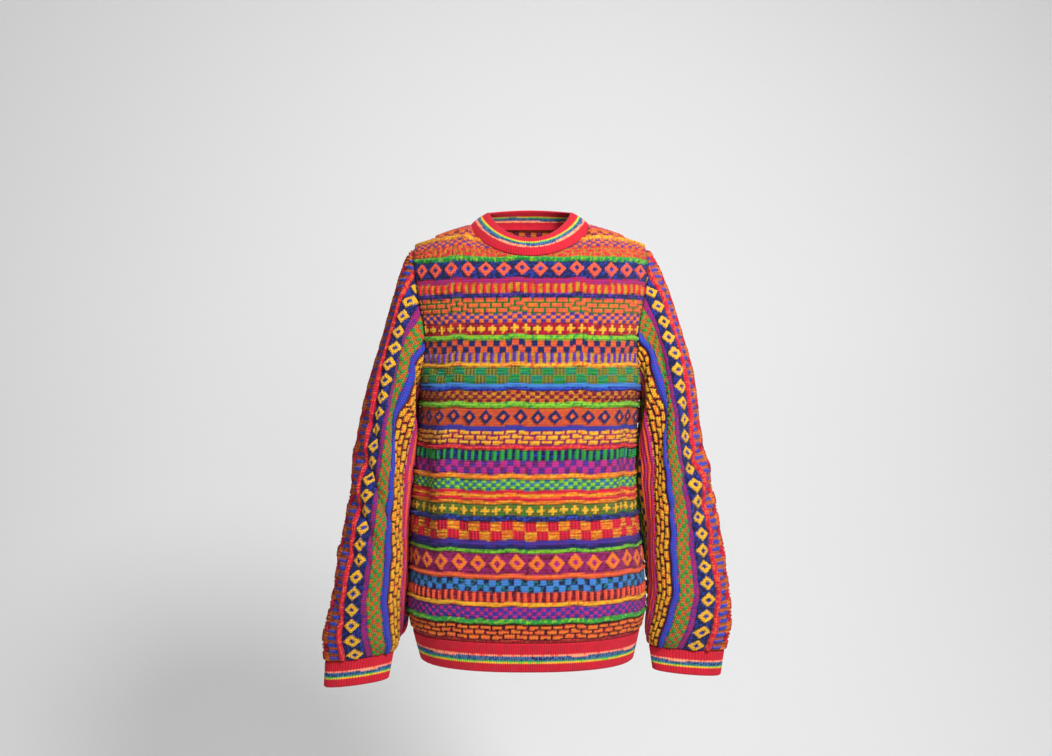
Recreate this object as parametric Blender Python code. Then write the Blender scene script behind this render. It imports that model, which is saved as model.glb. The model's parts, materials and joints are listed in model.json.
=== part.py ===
"""A crew-neck knit sweater, hollow, in the form it has when it is worn with the arms hanging.

The origin is on the centre plane at the height where the shoulder seams meet the neckband.
Z is up, the front faces -Y and the wearer's left is at +X. Everything is in metres.

Each piece is a grid of points in the middle of its cloth. The front and back are lofted
through level sections of the body, and a sleeve through rings that start on the armhole.
Pieces that are sewn together share the points of their seam. A wall is then built on each
grid: plain inside, with the raised knitting in its outer points.
"""

import math

import bpy
import numpy as np

COLLECTION = "knit_sweater"

# The cloth: a heavy cotton knit. Its welts and ribs stand out from the wall.
WALL = 0.0028
SEAM_GAP = 0.0003
WELT_HEIGHT = 0.0022
RIB_HEIGHT = 0.0008
WELT_PITCH = 0.0307
WELT_EASE = 0.012

# Heights of the body.
HEM_BOTTOM = -0.683
HEM_TOP = -0.638
UNDERARM = -0.270
CHEST_TOP = -0.100

# The shoulder seam runs from the neckband to its tip, and the neck seam dips in front.
NECK_HALF_WIDTH = 0.0955
NECK_FRONT = (-0.098, -0.054)
NECK_BACK = (0.066, 0.004)
# Over 1, the seam follows the shoulder before it dips.
NECK_DIP = 1.4
TIP_X = 0.185
TIP_Z = -0.034
SHOULDER_ARCH = 0.003

# The top edge of the neckband: half width, height at the sides, then depth and height. The
# band swells out between its two edges.
BAND_HALF_WIDTH = 0.0640
BAND_SIDE_Z = 0.024
BAND_FRONT = (-0.083, -0.025)
BAND_BACK = (0.045, 0.034)
BAND_SWELL = 0.004

# How far the armhole edges of the front and back bow away from the side.
ARMHOLE_BOW = 0.062

# A section of the body is a rounded box: 2 is an ellipse, more is squarer.
SECTION_ROUND = 2.3
# Half the angle that a panel wraps, at the sides and where the sleeve carries it on.
FULL_WRAP = 90
CHEST_WRAP = 52
# Over 1, the change from one to the other ends below the top of the chest.
WRAP_PACE = 1.6
# How far a column's end directions reach over the shoulder, as a share of its span.
SHOULDER_REACH = 1.1

# Level sections of the body.
# level, left, right, front, back
BODY_SECTIONS = (
    (-0.683, -0.172, 0.162, -0.120, 0.116),
    (-0.638, -0.184, 0.172, -0.128, 0.122),
    (-0.605, -0.190, 0.179, -0.134, 0.128),
    (-0.540, -0.187, 0.178, -0.133, 0.128),
    (-0.445, -0.185, 0.167, -0.130, 0.124),
    (-0.360, -0.178, 0.166, -0.128, 0.122),
    (-0.270, -0.171, 0.171, -0.127, 0.122),
    (-0.180, -0.162, 0.166, -0.125, 0.122),
    (-0.100, -0.176, 0.179, -0.117, 0.118),
)

# Rings of each sleeve below its armhole. Inner and outer are the points nearest to the body
# and furthest from it, at a distance x from the centre plane.
# inner x, inner z, outer x, outer z, middle y, half depth
RIGHT_SLEEVE_RINGS = (
    (0.1805, -0.2720, 0.1980, -0.062, -0.001, 0.067),
    (0.1845, -0.296, 0.2130, -0.112, -0.002, 0.074),
    (0.1890, -0.330, 0.2420, -0.222, -0.005, 0.081),
    (0.1920, -0.380, 0.2640, -0.323, -0.008, 0.078),
    (0.1955, -0.450, 0.2810, -0.420, -0.011, 0.069),
    (0.1965, -0.525, 0.2985, -0.520, -0.014, 0.060),
    (0.2000, -0.585, 0.3130, -0.602, -0.017, 0.053),
    (0.2080, -0.640, 0.3240, -0.652, -0.019, 0.043),
    (0.2180, -0.672, 0.3220, -0.688, -0.021, 0.024),
)
LEFT_SLEEVE_RINGS = (
    (0.1805, -0.2720, 0.1990, -0.060, -0.001, 0.067),
    (0.1840, -0.296, 0.2170, -0.104, -0.002, 0.074),
    (0.1830, -0.330, 0.2470, -0.214, -0.005, 0.081),
    (0.1810, -0.380, 0.2630, -0.323, -0.008, 0.078),
    (0.1820, -0.440, 0.2870, -0.419, -0.011, 0.069),
    (0.1860, -0.515, 0.3020, -0.515, -0.014, 0.060),
    (0.1885, -0.580, 0.3130, -0.590, -0.017, 0.053),
    (0.1880, -0.632, 0.3130, -0.636, -0.019, 0.043),
    (0.1905, -0.662, 0.3050, -0.670, -0.021, 0.024),
)
RIGHT_CUFF_END = (0.2260, -0.715, 0.3240, -0.728, -0.022, 0.021)
LEFT_CUFF_END = (0.1960, -0.700, 0.2990, -0.709, -0.022, 0.021)

# The largest folds of the cloth. Each is a soft line on the flat piece, in metres: on a
# panel u is across from the middle and v is up from the hem seam; on a sleeve u is round
# from the outer line, to the front where it is positive, and v is down from the armhole.
# A negative depth is a trough.
# start u, start v, end u, end v, half width, depth
FRONT_FOLDS = (
    (-0.178, 0.36, -0.160, 0.12, 0.020, -0.0070),
    (-0.135, 0.42, -0.122, 0.04, 0.024, 0.0045),
    (-0.070, 0.16, -0.064, -0.02, 0.020, -0.0030),
    (0.168, 0.39, 0.168, 0.14, 0.018, -0.0065),
    (0.130, 0.44, 0.140, 0.03, 0.024, 0.0050),
    (0.064, 0.20, 0.056, -0.02, 0.022, -0.0030),
)
BACK_FOLDS = (
    (-0.172, 0.37, -0.150, 0.14, 0.020, -0.0065),
    (-0.120, 0.45, -0.128, 0.05, 0.026, 0.0045),
    (0.170, 0.36, 0.156, 0.16, 0.020, -0.0070),
    (0.126, 0.46, 0.114, 0.04, 0.026, 0.0045),
    (0.010, 0.22, -0.006, 0.02, 0.026, -0.0035),
)
SLEEVE_FOLDS = (
    (0.150, 0.015, 0.115, 0.230, 0.021, -0.0095),
    (0.085, 0.060, 0.060, 0.260, 0.020, 0.0050),
    (-0.150, 0.015, -0.120, 0.200, 0.021, -0.0090),
    (0.130, 0.270, 0.010, 0.330, 0.013, -0.0060),
    (0.120, 0.345, 0.000, 0.400, 0.013, -0.0055),
    (-0.120, 0.300, -0.010, 0.355, 0.014, -0.0055),
    (0.100, 0.430, 0.020, 0.455, 0.012, -0.0040),
    (0.200, 0.050, 0.160, 0.250, 0.020, 0.0080),
    (0.134, 0.200, 0.104, 0.570, 0.024, 0.0065),
)

# How finely each grid is divided.
SHOULDER_COLUMNS = 4
NECKLINE_COLUMNS = 12
SIDE_ROWS = 24
ARMHOLE_LOW_ROWS = 10
ARMHOLE_TOP_ROWS = 7
# Over 1, it puts the rows of a panel closer together just above the underarm.
ARMHOLE_ROW_EASE = 1.25
SLEEVE_ROWS = 22
# Over 1, it puts the rows of a sleeve closer together near its armhole.
SLEEVE_ROW_EASE = 1.3
# Outer columns to one inner column, on the ribbed pieces. Two outer columns are one rib.
NECK_RIB_COLUMNS = 6
HEM_RIB_COLUMNS = 6
CUFF_RIB_COLUMNS = 2
BAND_ROWS = 2
# How finely the curves are drawn that columns are spaced along.
CURVE_POINTS = 321
# How often the common directions round the neck seam and the armholes are evened out.
LOOP_SMOOTHING = 2

# Body level rows of welts that stand out most, and those that stay low.
WELT_STRENGTHS = (1.0, 0.45, 0.8, 1.0, 0.35, 0.9, 0.6)

# name: colour (linear red, green, blue)
COLOURS = {
    "front": (0.68, 0.20, 0.04),
    "back": (0.68, 0.20, 0.04),
    "sleeve_right": (0.55, 0.13, 0.06),
    "sleeve_left": (0.55, 0.13, 0.06),
    "neckband": (0.62, 0.02, 0.03),
    "hem_front": (0.62, 0.02, 0.03),
    "hem_back": (0.62, 0.02, 0.03),
    "cuff_right": (0.62, 0.02, 0.03),
    "cuff_left": (0.62, 0.02, 0.03),
}
ROUGHNESS = 0.9

FRONT = -1
BACK = 1


def clear_scene():
    for thing in list(bpy.data.objects):
        bpy.data.objects.remove(thing, do_unlink=True)


def unit(vectors):
    return vectors / np.linalg.norm(vectors, axis=-1, keepdims=True)


def ease(share):
    """Goes smoothly from 0 to 1 as share does, and stays there."""
    share = np.clip(share, 0.0, 1.0)
    return share * share * (3 - 2 * share)


def smooth(keys, values, at):
    """A smooth curve through values at keys, read at the places in at."""
    keys = np.asarray(keys, float)
    values = np.asarray(values, float)
    at = np.atleast_1d(at)
    slopes = np.gradient(values, keys, axis=0)
    span = np.clip(np.searchsorted(keys, at) - 1, 0, len(keys) - 2)
    step = keys[span + 1] - keys[span]
    share = (at - keys[span]) / step
    shape = (len(at),) + (1,) * (values.ndim - 1)
    share = share.reshape(shape)
    step = step.reshape(shape)
    stay = 1 - share
    return (
        values[span] * (1 + 2 * share) * stay**2
        + slopes[span] * step * share * stay**2
        + values[span + 1] * (3 - 2 * share) * share**2
        - slopes[span + 1] * step * stay * share**2
    )


def spread(curve, shares):
    """Points on a polyline, at shares of its length."""
    steps = np.linalg.norm(np.diff(curve, axis=0), axis=1)
    run = np.concatenate(([0.0], np.cumsum(steps)))
    places = np.asarray(shares) * run[-1]
    return np.stack([np.interp(places, run, curve[:, i]) for i in range(3)], axis=1)


def panel_shares():
    """The places of a panel's columns across it, from 0 to 1. The neckline is the middle part."""
    columns = 2 * SHOULDER_COLUMNS + NECKLINE_COLUMNS
    return np.linspace(0, 1, columns + 1)


def armhole_bow(side, level):
    """How far a panel's edge is from the side of the body: nothing below the underarm."""
    middle = (UNDERARM + TIP_Z) / 2
    half = (TIP_Z - UNDERARM) / 2
    if level <= UNDERARM:
        return 0.0
    return side * ARMHOLE_BOW * math.sqrt(max(0.0, 1 - ((level - middle) / half) ** 2))


def level_row(side, level, shares):
    """One level row of the front or back, its columns evenly spaced round the body."""
    keys = [row[0] for row in BODY_SECTIONS]
    left, right, front, back = smooth(keys, [row[1:] for row in BODY_SECTIONS], level)[0]
    middle = front if side == FRONT else back
    edge = armhole_bow(side, level)
    rise = ease(WRAP_PACE * (level - UNDERARM) / (CHEST_TOP - UNDERARM))
    wrap = math.radians(FULL_WRAP + (CHEST_WRAP - FULL_WRAP) * rise)
    angle = np.linspace(-wrap, wrap, CURVE_POINTS)
    power = 2 / SECTION_ROUND
    across = np.sign(angle) * (np.abs(np.sin(angle)) / math.sin(wrap)) ** power
    least = math.cos(wrap) ** power
    swell = (np.abs(np.cos(angle)) ** power - least) / (1 - least)
    x = (left + right) / 2 + (right - left) / 2 * across
    y = edge + (middle - edge) * swell
    return spread(np.stack([x, y, np.full_like(x, level)], axis=1), shares)


def neck_half(half_width, side_z, end):
    """Half of a loop round the neck, from the right side to the left, through end at its middle."""
    angle = np.linspace(0, math.pi, CURVE_POINTS)
    depth, height = end
    x = -half_width * np.cos(angle)
    y = depth * np.sin(angle)
    z = side_z + (height - side_z) * np.clip(np.sin(angle), 0, 1) ** NECK_DIP
    return np.stack([x, y, z], axis=1)


def top_row(side, shares):
    """The top edge of a panel: shoulder seam, neckline, shoulder seam."""
    part = SHOULDER_COLUMNS / (2 * SHOULDER_COLUMNS + NECKLINE_COLUMNS)
    end = NECK_FRONT if side == FRONT else NECK_BACK
    neckline = neck_half(NECK_HALF_WIDTH, 0.0, end)
    run = np.linspace(0, 1, CURVE_POINTS)
    x = -TIP_X + (TIP_X - NECK_HALF_WIDTH) * run
    z = TIP_Z * (1 - run) + SHOULDER_ARCH * np.sin(math.pi * run)
    shoulder = np.stack([x, np.zeros_like(x), z], axis=1)
    other = shoulder[::-1] * np.array([-1.0, 1.0, 1.0])
    rows = []
    for share in shares:
        if share < part:
            rows.append(spread(shoulder, [share / part])[0])
        elif share <= 1 - part:
            rows.append(spread(neckline, [(share - part) / (1 - 2 * part)])[0])
        else:
            rows.append(spread(other, [(share - 1 + part) / part])[0])
    return np.array(rows)


def top_leaning(side, shares):
    """The direction in which each column reaches the top edge: over the shoulder, or up the neck."""
    part = SHOULDER_COLUMNS / (2 * SHOULDER_COLUMNS + NECKLINE_COLUMNS)
    place = np.clip((np.asarray(shares) - part) / (1 - 2 * part), 0, 1)
    up = np.sin(math.pi * place)
    leaning = np.stack([np.zeros_like(up), -side * (1 - 0.55 * up), 0.1 + 0.8 * up], axis=1)
    return unit(leaning)


def panel(side):
    """The middle of the front or back, rows from the hem seam up."""
    shares = panel_shares()
    side_levels = np.linspace(HEM_TOP, UNDERARM, SIDE_ROWS + 1)
    rise = np.linspace(0, 1, ARMHOLE_LOW_ROWS + 1)[1:] ** ARMHOLE_ROW_EASE
    armhole_levels = UNDERARM + (CHEST_TOP - UNDERARM) * rise
    rows = [level_row(side, level, shares) for level in (*side_levels, *armhole_levels)]
    start = rows[-1]
    below = level_row(side, CHEST_TOP - 0.01, shares)
    end = top_row(side, shares)
    reach = SHOULDER_REACH * np.linalg.norm(end - start, axis=1, keepdims=True)
    leave = unit(start - below) * reach
    arrive = top_leaning(side, shares) * reach
    for step in range(1, ARMHOLE_TOP_ROWS + 1):
        share = step / ARMHOLE_TOP_ROWS
        stay = 1 - share
        rows.append(
            start * (1 + 2 * share) * stay**2
            + leave * share * stay**2
            + end * (3 - 2 * share) * share**2
            - arrive * stay * share**2
        )
    return np.array(rows)


def hem_band(side):
    """The rib below a panel, rows from its bottom edge up to the panel."""
    shares = panel_shares()
    return np.array([level_row(side, level, shares) for level in (HEM_BOTTOM, HEM_TOP)])


def neckband(front, back):
    """The band on the neckline of both panels, rows from the seam up to its top edge."""
    first = SHOULDER_COLUMNS
    last = first + NECKLINE_COLUMNS
    seam = np.concatenate([front[-1, first : last + 1], back[-1, last - 1 : first : -1]])
    shares = np.linspace(0, 1, NECKLINE_COLUMNS + 1)
    front_top = spread(neck_half(BAND_HALF_WIDTH, BAND_SIDE_Z, BAND_FRONT), shares)
    back_top = spread(neck_half(BAND_HALF_WIDTH, BAND_SIDE_Z, BAND_BACK), shares)
    top = np.concatenate([front_top, back_top[-2:0:-1]])
    rows = []
    for share in np.linspace(0, 1, BAND_ROWS + 1):
        row = seam + (top - seam) * share
        away = unit(row * np.array([1.0, 1.0, 0.0]))
        rows.append(row + away * BAND_SWELL * math.sin(math.pi * share))
    return np.array(rows)


def armhole_ring(front, back, column):
    """A closed ring on the armhole edges: from the underarm up the front, and down the back."""
    up = front[SIDE_ROWS:, column]
    down = back[SIDE_ROWS:, column][::-1]
    return np.concatenate([up, down[1:-1]])


def table_ring(row, outward, count):
    """A ring of a sleeve from its table row, its points in the armhole ring's order."""
    inner_x, inner_z, outer_x, outer_z, middle_y, depth = row
    angle = np.linspace(0, 2 * math.pi, count, endpoint=False)
    x = outward * ((inner_x + outer_x) / 2 - (outer_x - inner_x) / 2 * np.cos(angle))
    y = middle_y - depth * np.sin(angle)
    z = (inner_z + outer_z) / 2 - (outer_z - inner_z) / 2 * np.cos(angle)
    return np.stack([x, y, z], axis=1)


def sleeve(armhole, rings, outward):
    """The middle of a sleeve, rows from the armhole down to the cuff seam."""
    count = len(armhole)
    keys = np.array([armhole] + [table_ring(row, outward, count) for row in rings])
    centres = keys.mean(axis=1)
    steps = np.linalg.norm(np.diff(centres, axis=0), axis=1)
    run = np.concatenate(([0.0], np.cumsum(steps)))
    shares = np.linspace(0, 1, SLEEVE_ROWS + 1) ** SLEEVE_ROW_EASE
    return smooth(run, keys, shares * run[-1])


def cuff(seam, end, outward):
    """The rib below a sleeve, rows from the seam down."""
    return np.array([seam, table_ring(end, outward, len(seam))])


def facing(points, closed, turn):
    """The outward direction at each point of a grid."""
    along = np.gradient(points, axis=0)
    if closed:
        across = np.roll(points, -1, axis=1) - np.roll(points, 1, axis=1)
    else:
        across = np.gradient(points, axis=1)
    return unit(np.cross(across, along) * turn)


def flat_places(points, closed):
    """Each point's place on the flat piece: u across or round, v along, in metres."""
    v = np.zeros(points.shape[:2])
    v[1:] = np.cumsum(np.linalg.norm(np.diff(points, axis=0), axis=2), axis=0)
    u = np.zeros(points.shape[:2])
    u[:, 1:] = np.cumsum(np.linalg.norm(np.diff(points, axis=1), axis=2), axis=1)
    if closed:
        outer = points.shape[1] // 2
        return u[:, outer : outer + 1] - u, v
    return u - (u[:, -1:] / 2), v


def fold_heights(folds, u, v):
    """How far the folds move the cloth out, at each place."""
    height = np.zeros_like(u)
    for start_u, start_v, end_u, end_v, half_width, depth in folds:
        line = np.array([end_u - start_u, end_v - start_v])
        length = np.hypot(*line)
        share = ((u - start_u) * line[0] + (v - start_v) * line[1]) / length**2
        off = ((u - start_u) * line[1] - (v - start_v) * line[0]) / length
        taper = ease(2.5 * share) * ease(2.5 * (1 - share))
        height += depth * taper * np.exp(-((off / half_width) ** 2))
    return height


def fade_at_ends(count, steps):
    """1 along a row of points, and 0 at both of its ends."""
    place = np.arange(count)
    return ease(np.minimum(place, count - 1 - place) / steps)


def folded(points, closed, turn, folds):
    """A grid with its folds, and with its seams where they were."""
    u, v = flat_places(points, closed)
    height = fold_heights(folds, u, v) * fade_at_ends(len(points), 2)[:, None]
    if not closed:
        height = height * fade_at_ends(points.shape[1], 2)[None, :]
    return points + facing(points, closed, turn) * height[..., None]


def welts_up(points):
    """Level welts round the body: each rises from its lower edge and falls to its upper one."""
    v = flat_places(points, False)[1]
    strength = np.array(WELT_STRENGTHS)[(v // WELT_PITCH).astype(int) % len(WELT_STRENGTHS)]
    swell = 0.5 - 0.5 * np.cos(2 * math.pi * v / WELT_PITCH)
    ends = ease(v / WELT_EASE) * ease((v[-1:] - v) / WELT_EASE)
    sides = fade_at_ends(points.shape[1], 1)[None, :]
    return WELT_HEIGHT * strength * swell * ends * sides


def welts_round(points):
    """Lengthwise welts on a sleeve: every second column stands out, and none at its seams."""
    count = points.shape[1]
    column = np.arange(count)
    standing = (column % 2 == 1) * np.array(WELT_STRENGTHS)[(column // 2) % len(WELT_STRENGTHS)]
    standing[[1, count - 1]] = 0.0
    return WELT_HEIGHT * standing[None, :] * fade_at_ends(len(points), 1)[:, None]


def ribs(points, closed, per_column):
    """Heights of the fine ribs: every second outer column stands out."""
    count = points.shape[1] * per_column if closed else (points.shape[1] - 1) * per_column + 1
    height = RIB_HEIGHT * (np.arange(count) % 2)
    return np.repeat(height[None, :], len(points), axis=0)


def place_of(point):
    return tuple(np.round(point / 1e-5).astype(int))


def share_seams(pieces):
    """Gives sewn edges one common direction and sets each back by half of the seam's gap."""
    met = {}
    for name, piece in pieces.items():
        rows, columns = piece["points"].shape[:2]
        for row in range(rows):
            for column in range(columns):
                side = not piece["closed"] and column in (0, columns - 1)
                if row in (0, rows - 1) or side:
                    place = place_of(piece["points"][row, column])
                    met.setdefault(place, []).append((name, row, column))
    met = {place: members for place, members in met.items() if len(members) > 1}
    common = {}
    for place, members in met.items():
        common[place] = unit(sum(pieces[name]["out"][row, column] for name, row, column in members))
    for name in ("neckband", "sleeve_right", "sleeve_left"):
        loop = [place_of(point) for point in pieces[name]["points"][0]]
        for _ in range(LOOP_SMOOTHING):
            turned = [common[place] for place in loop]
            for i, place in enumerate(loop):
                common[place] = unit(turned[i - 1] + 2 * turned[i] + turned[(i + 1) % len(loop)])
    shifts = {name: np.zeros_like(piece["points"]) for name, piece in pieces.items()}
    for place, members in met.items():
        for name, row, column in members:
            pieces[name]["out"][row, column] = common[place]
            for inward in ways_in(pieces[name], row, column, met, common[place]):
                shifts[name][row, column] += inward * SEAM_GAP / 2
    for name, piece in pieces.items():
        piece["points"] = piece["points"] + shifts[name]


def ways_in(piece, row, column, met, common):
    """The directions into a piece from its sewn edges at a point, square to each edge."""
    points = piece["points"]
    rows, columns = points.shape[:2]
    here = points[row, column]
    if row in (0, rows - 1) and edge_is_sewn(piece, row, None, column, met):
        if piece["closed"]:
            along = points[row, (column + 1) % columns] - points[row, column - 1]
        else:
            along = points[row, min(column + 1, columns - 1)] - points[row, max(column - 1, 0)]
        yield square_to(along, common, points[1 if row == 0 else rows - 2, column] - here)
    if not piece["closed"] and column in (0, columns - 1):
        if edge_is_sewn(piece, None, column, row, met):
            along = points[min(row + 1, rows - 1), column] - points[max(row - 1, 0), column]
            yield square_to(along, common, points[row, 1 if column == 0 else columns - 2] - here)


def square_to(along, common, toward):
    """The direction square to an edge and in the cloth, on the side of toward."""
    across = unit(np.cross(common, along))
    return across if np.dot(across, toward) > 0 else -across


def edge_is_sewn(piece, row, column, place, met):
    """Whether a point's neighbour along that edge is shared with another piece too."""
    points = piece["points"]
    count = points.shape[1] if column is None else points.shape[0]
    for beside in (place - 1, place + 1):
        if piece["closed"] and column is None:
            beside %= count
        if 0 <= beside < count:
            at = points[row, beside] if column is None else points[beside, column]
            if place_of(at) in met:
                return True
    return False


def finer(grid, closed, per_column):
    """A grid with more columns, in straight lines between the ones it has."""
    if closed:
        grid = np.concatenate([grid, grid[:, :1]], axis=1)
    count = (grid.shape[1] - 1) * per_column
    place = np.arange(count if closed else count + 1) / per_column
    low = np.minimum(place.astype(int), grid.shape[1] - 2)
    share = (place - low)[None, :, None]
    return grid[:, low] * (1 - share) + grid[:, low + 1] * share


def wall(piece):
    """Points and faces of a closed wall, its outer columns as many times the inner ones as asked."""
    closed = piece["closed"]
    per_column = piece["per_column"]
    out = piece["out"]
    inner = piece["points"] - out * WALL / 2
    outer_out = unit(finer(out, closed, per_column))
    height = WALL / 2 + piece["relief"]
    outer = finer(piece["points"], closed, per_column) + outer_out * height[..., None]
    rows = len(inner)
    inner_count = inner.shape[1]
    outer_count = outer.shape[1]
    points = np.concatenate([outer.reshape(-1, 3), inner.reshape(-1, 3)])

    def outer_at(row, column):
        return row * outer_count + column % outer_count

    def inner_at(row, column):
        return rows * outer_count + row * inner_count + column % inner_count

    faces = []
    for at, count in ((outer_at, outer_count), (inner_at, inner_count)):
        for row in range(rows - 1):
            for column in range(count if closed else count - 1):
                corners = (at(row, column), at(row, column + 1))
                faces.append(corners + (at(row + 1, column + 1), at(row + 1, column)))
    for row in (0, rows - 1):
        for column in range(inner_count if closed else inner_count - 1):
            faces.extend(rim(outer_at, inner_at, row, column, per_column))
    if not closed:
        for row in range(rows - 1):
            for outer_end, inner_end in ((0, 0), (outer_count - 1, inner_count - 1)):
                corners = (outer_at(row, outer_end), outer_at(row + 1, outer_end))
                faces.append(corners + (inner_at(row + 1, inner_end), inner_at(row, inner_end)))
    return points, faces


def rim(outer_at, inner_at, row, column, per_column):
    """The rim's faces over one inner column."""
    first = column * per_column
    here = inner_at(row, column)
    beyond = inner_at(row, column + 1)
    if per_column == 1:
        return [(here, outer_at(row, first), outer_at(row, first + 1), beyond)]
    half = per_column // 2
    faces = [(here, outer_at(row, first + half), beyond)]
    for step in range(per_column):
        apex = here if step < half else beyond
        faces.append((apex, outer_at(row, first + step), outer_at(row, first + step + 1)))
    return faces


def cloth_material(name):
    material = bpy.data.materials.new(f"{name}_knit")
    material.use_nodes = True
    shader = material.node_tree.nodes["Principled BSDF"]
    shader.inputs["Base Color"].default_value = (*COLOURS[name], 1)
    shader.inputs["Roughness"].default_value = ROUGHNESS
    shader.inputs["Metallic"].default_value = 0.0
    material.diffuse_color = (*COLOURS[name], 1)
    return material


def add_piece(name, piece, collection):
    points, faces = wall(piece)
    mesh = bpy.data.meshes.new(name)
    mesh.from_pydata(points.tolist(), [], faces)
    mesh.update()
    solid = bpy.data.objects.new(name, mesh)
    collection.objects.link(solid)
    bpy.context.view_layer.objects.active = solid
    solid.select_set(True)
    bpy.ops.object.mode_set(mode="EDIT")
    bpy.ops.mesh.select_all(action="SELECT")
    bpy.ops.mesh.normals_make_consistent(inside=False)
    bpy.ops.object.mode_set(mode="OBJECT")
    solid.select_set(False)
    mesh.shade_smooth()
    mesh.materials.append(cloth_material(name))
    print(f"{name}: {sum(len(face) - 2 for face in faces)} triangles")
    return solid


def piece_of(points, closed, turn, relief, per_column=1):
    return {
        "points": points,
        "closed": closed,
        "out": facing(points, closed, turn),
        "relief": relief,
        "per_column": per_column,
    }


def garment():
    """All the pieces, by name."""
    front = panel(FRONT)
    back = panel(BACK)
    last = front.shape[1] - 1
    band = neckband(front, back)
    right_armhole = armhole_ring(front, back, 0)
    left_armhole = armhole_ring(front, back, last)
    right_sleeve = sleeve(right_armhole, RIGHT_SLEEVE_RINGS, -1)
    left_sleeve = sleeve(left_armhole, LEFT_SLEEVE_RINGS, 1)
    right_cuff = cuff(right_sleeve[-1], RIGHT_CUFF_END, -1)
    left_cuff = cuff(left_sleeve[-1], LEFT_CUFF_END, 1)
    hem_front = hem_band(FRONT)
    hem_back = hem_band(BACK)
    front = folded(front, False, 1, FRONT_FOLDS)
    back = folded(back, False, -1, BACK_FOLDS)
    right_sleeve = folded(right_sleeve, True, 1, SLEEVE_FOLDS)
    left_sleeve = folded(left_sleeve, True, -1, SLEEVE_FOLDS)
    neck_ribs = ribs(band, True, NECK_RIB_COLUMNS)
    hem_ribs = ribs(hem_front, False, HEM_RIB_COLUMNS)
    cuff_ribs = ribs(right_cuff, True, CUFF_RIB_COLUMNS)
    return {
        "front": piece_of(front, False, 1, welts_up(front)),
        "back": piece_of(back, False, -1, welts_up(back)),
        "sleeve_right": piece_of(right_sleeve, True, 1, welts_round(right_sleeve)),
        "sleeve_left": piece_of(left_sleeve, True, -1, welts_round(left_sleeve)),
        "neckband": piece_of(band, True, 1, neck_ribs, NECK_RIB_COLUMNS),
        "hem_front": piece_of(hem_front, False, 1, hem_ribs, HEM_RIB_COLUMNS),
        "hem_back": piece_of(hem_back, False, -1, hem_ribs, HEM_RIB_COLUMNS),
        "cuff_right": piece_of(right_cuff, True, 1, cuff_ribs, CUFF_RIB_COLUMNS),
        "cuff_left": piece_of(left_cuff, True, -1, cuff_ribs, CUFF_RIB_COLUMNS),
    }


def main():
    clear_scene()
    collection = bpy.data.collections.new(COLLECTION)
    bpy.context.scene.collection.children.link(collection)
    pieces = garment()
    share_seams(pieces)
    for name, piece in pieces.items():
        add_piece(name, piece, collection)


main()
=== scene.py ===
# %% [markdown]
# # A knit sweater in its worn form
#
# This lesson dresses the imported model of a heavy multicolour pullover. The imported solids
# carry the size, the seams and the hollow. Here each of them gets a finely knitted skin on
# the same form, with raised bands of stitches, striped ribs and soft creases.
#
# The first step loads the imported model.

# %% Load the frame
import json
import math

import bpy
import numpy as np
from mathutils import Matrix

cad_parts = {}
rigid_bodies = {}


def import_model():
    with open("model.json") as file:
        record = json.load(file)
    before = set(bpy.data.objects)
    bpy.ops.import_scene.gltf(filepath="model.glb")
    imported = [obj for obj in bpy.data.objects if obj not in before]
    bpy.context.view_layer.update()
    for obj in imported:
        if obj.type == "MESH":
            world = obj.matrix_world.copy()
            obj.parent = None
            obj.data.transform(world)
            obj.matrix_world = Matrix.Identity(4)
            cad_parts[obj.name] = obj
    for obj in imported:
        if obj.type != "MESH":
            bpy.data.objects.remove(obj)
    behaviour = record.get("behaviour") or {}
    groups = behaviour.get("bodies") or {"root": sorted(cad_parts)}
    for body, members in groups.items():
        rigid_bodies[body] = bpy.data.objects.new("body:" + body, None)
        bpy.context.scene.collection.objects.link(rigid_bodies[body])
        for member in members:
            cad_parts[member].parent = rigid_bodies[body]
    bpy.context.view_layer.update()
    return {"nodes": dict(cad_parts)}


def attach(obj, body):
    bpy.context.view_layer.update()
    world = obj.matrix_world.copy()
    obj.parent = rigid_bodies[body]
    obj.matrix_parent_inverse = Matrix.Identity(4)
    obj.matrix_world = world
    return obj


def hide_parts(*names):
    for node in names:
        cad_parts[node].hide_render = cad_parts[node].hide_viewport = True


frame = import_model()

print("pieces of the frame:", sorted(frame["nodes"]))

# %% [markdown]
# ## The camera
#
# The picture is taken level with the middle of the sweater, from two metres away. At that
# distance a lens of 43 mm puts 1.6 mm of the sweater's middle plane in each pixel of a
# picture 1052 pixels wide. The camera looks straight along +Y, so upright lines stay upright.
# The standard view keeps the dyed yarns as bright as their colours are given.

# %% Camera
IMAGE_WIDTH = 1052
SENSOR_MM = 36.0
CAMERA_DISTANCE = 2.0
METRES_PER_PIXEL = 0.0016
CAMERA_X = -0.0064
CAMERA_Z = -0.240

camera_data = bpy.data.cameras.new("studio_camera")
camera_data.sensor_width = SENSOR_MM
camera_data.lens = SENSOR_MM * CAMERA_DISTANCE / (METRES_PER_PIXEL * IMAGE_WIDTH)
camera = bpy.data.objects.new("studio_camera", camera_data)
bpy.context.scene.collection.objects.link(camera)
camera.location = (CAMERA_X, -CAMERA_DISTANCE, CAMERA_Z)
camera.rotation_euler = (math.radians(90), 0, 0)
bpy.context.scene.camera = camera
bpy.context.scene.view_settings.view_transform = "Standard"
print(f"lens {camera_data.lens:.1f} mm")

# %% [markdown]
# ## The studio
#
# A product picture wants a pale floor that runs up into a pale backdrop with no edge. One
# swept sheet does both. The light is a soft key close by on the right, which falls off
# before it reaches the far sleeve, a weaker fill from the front and a little from above.

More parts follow.
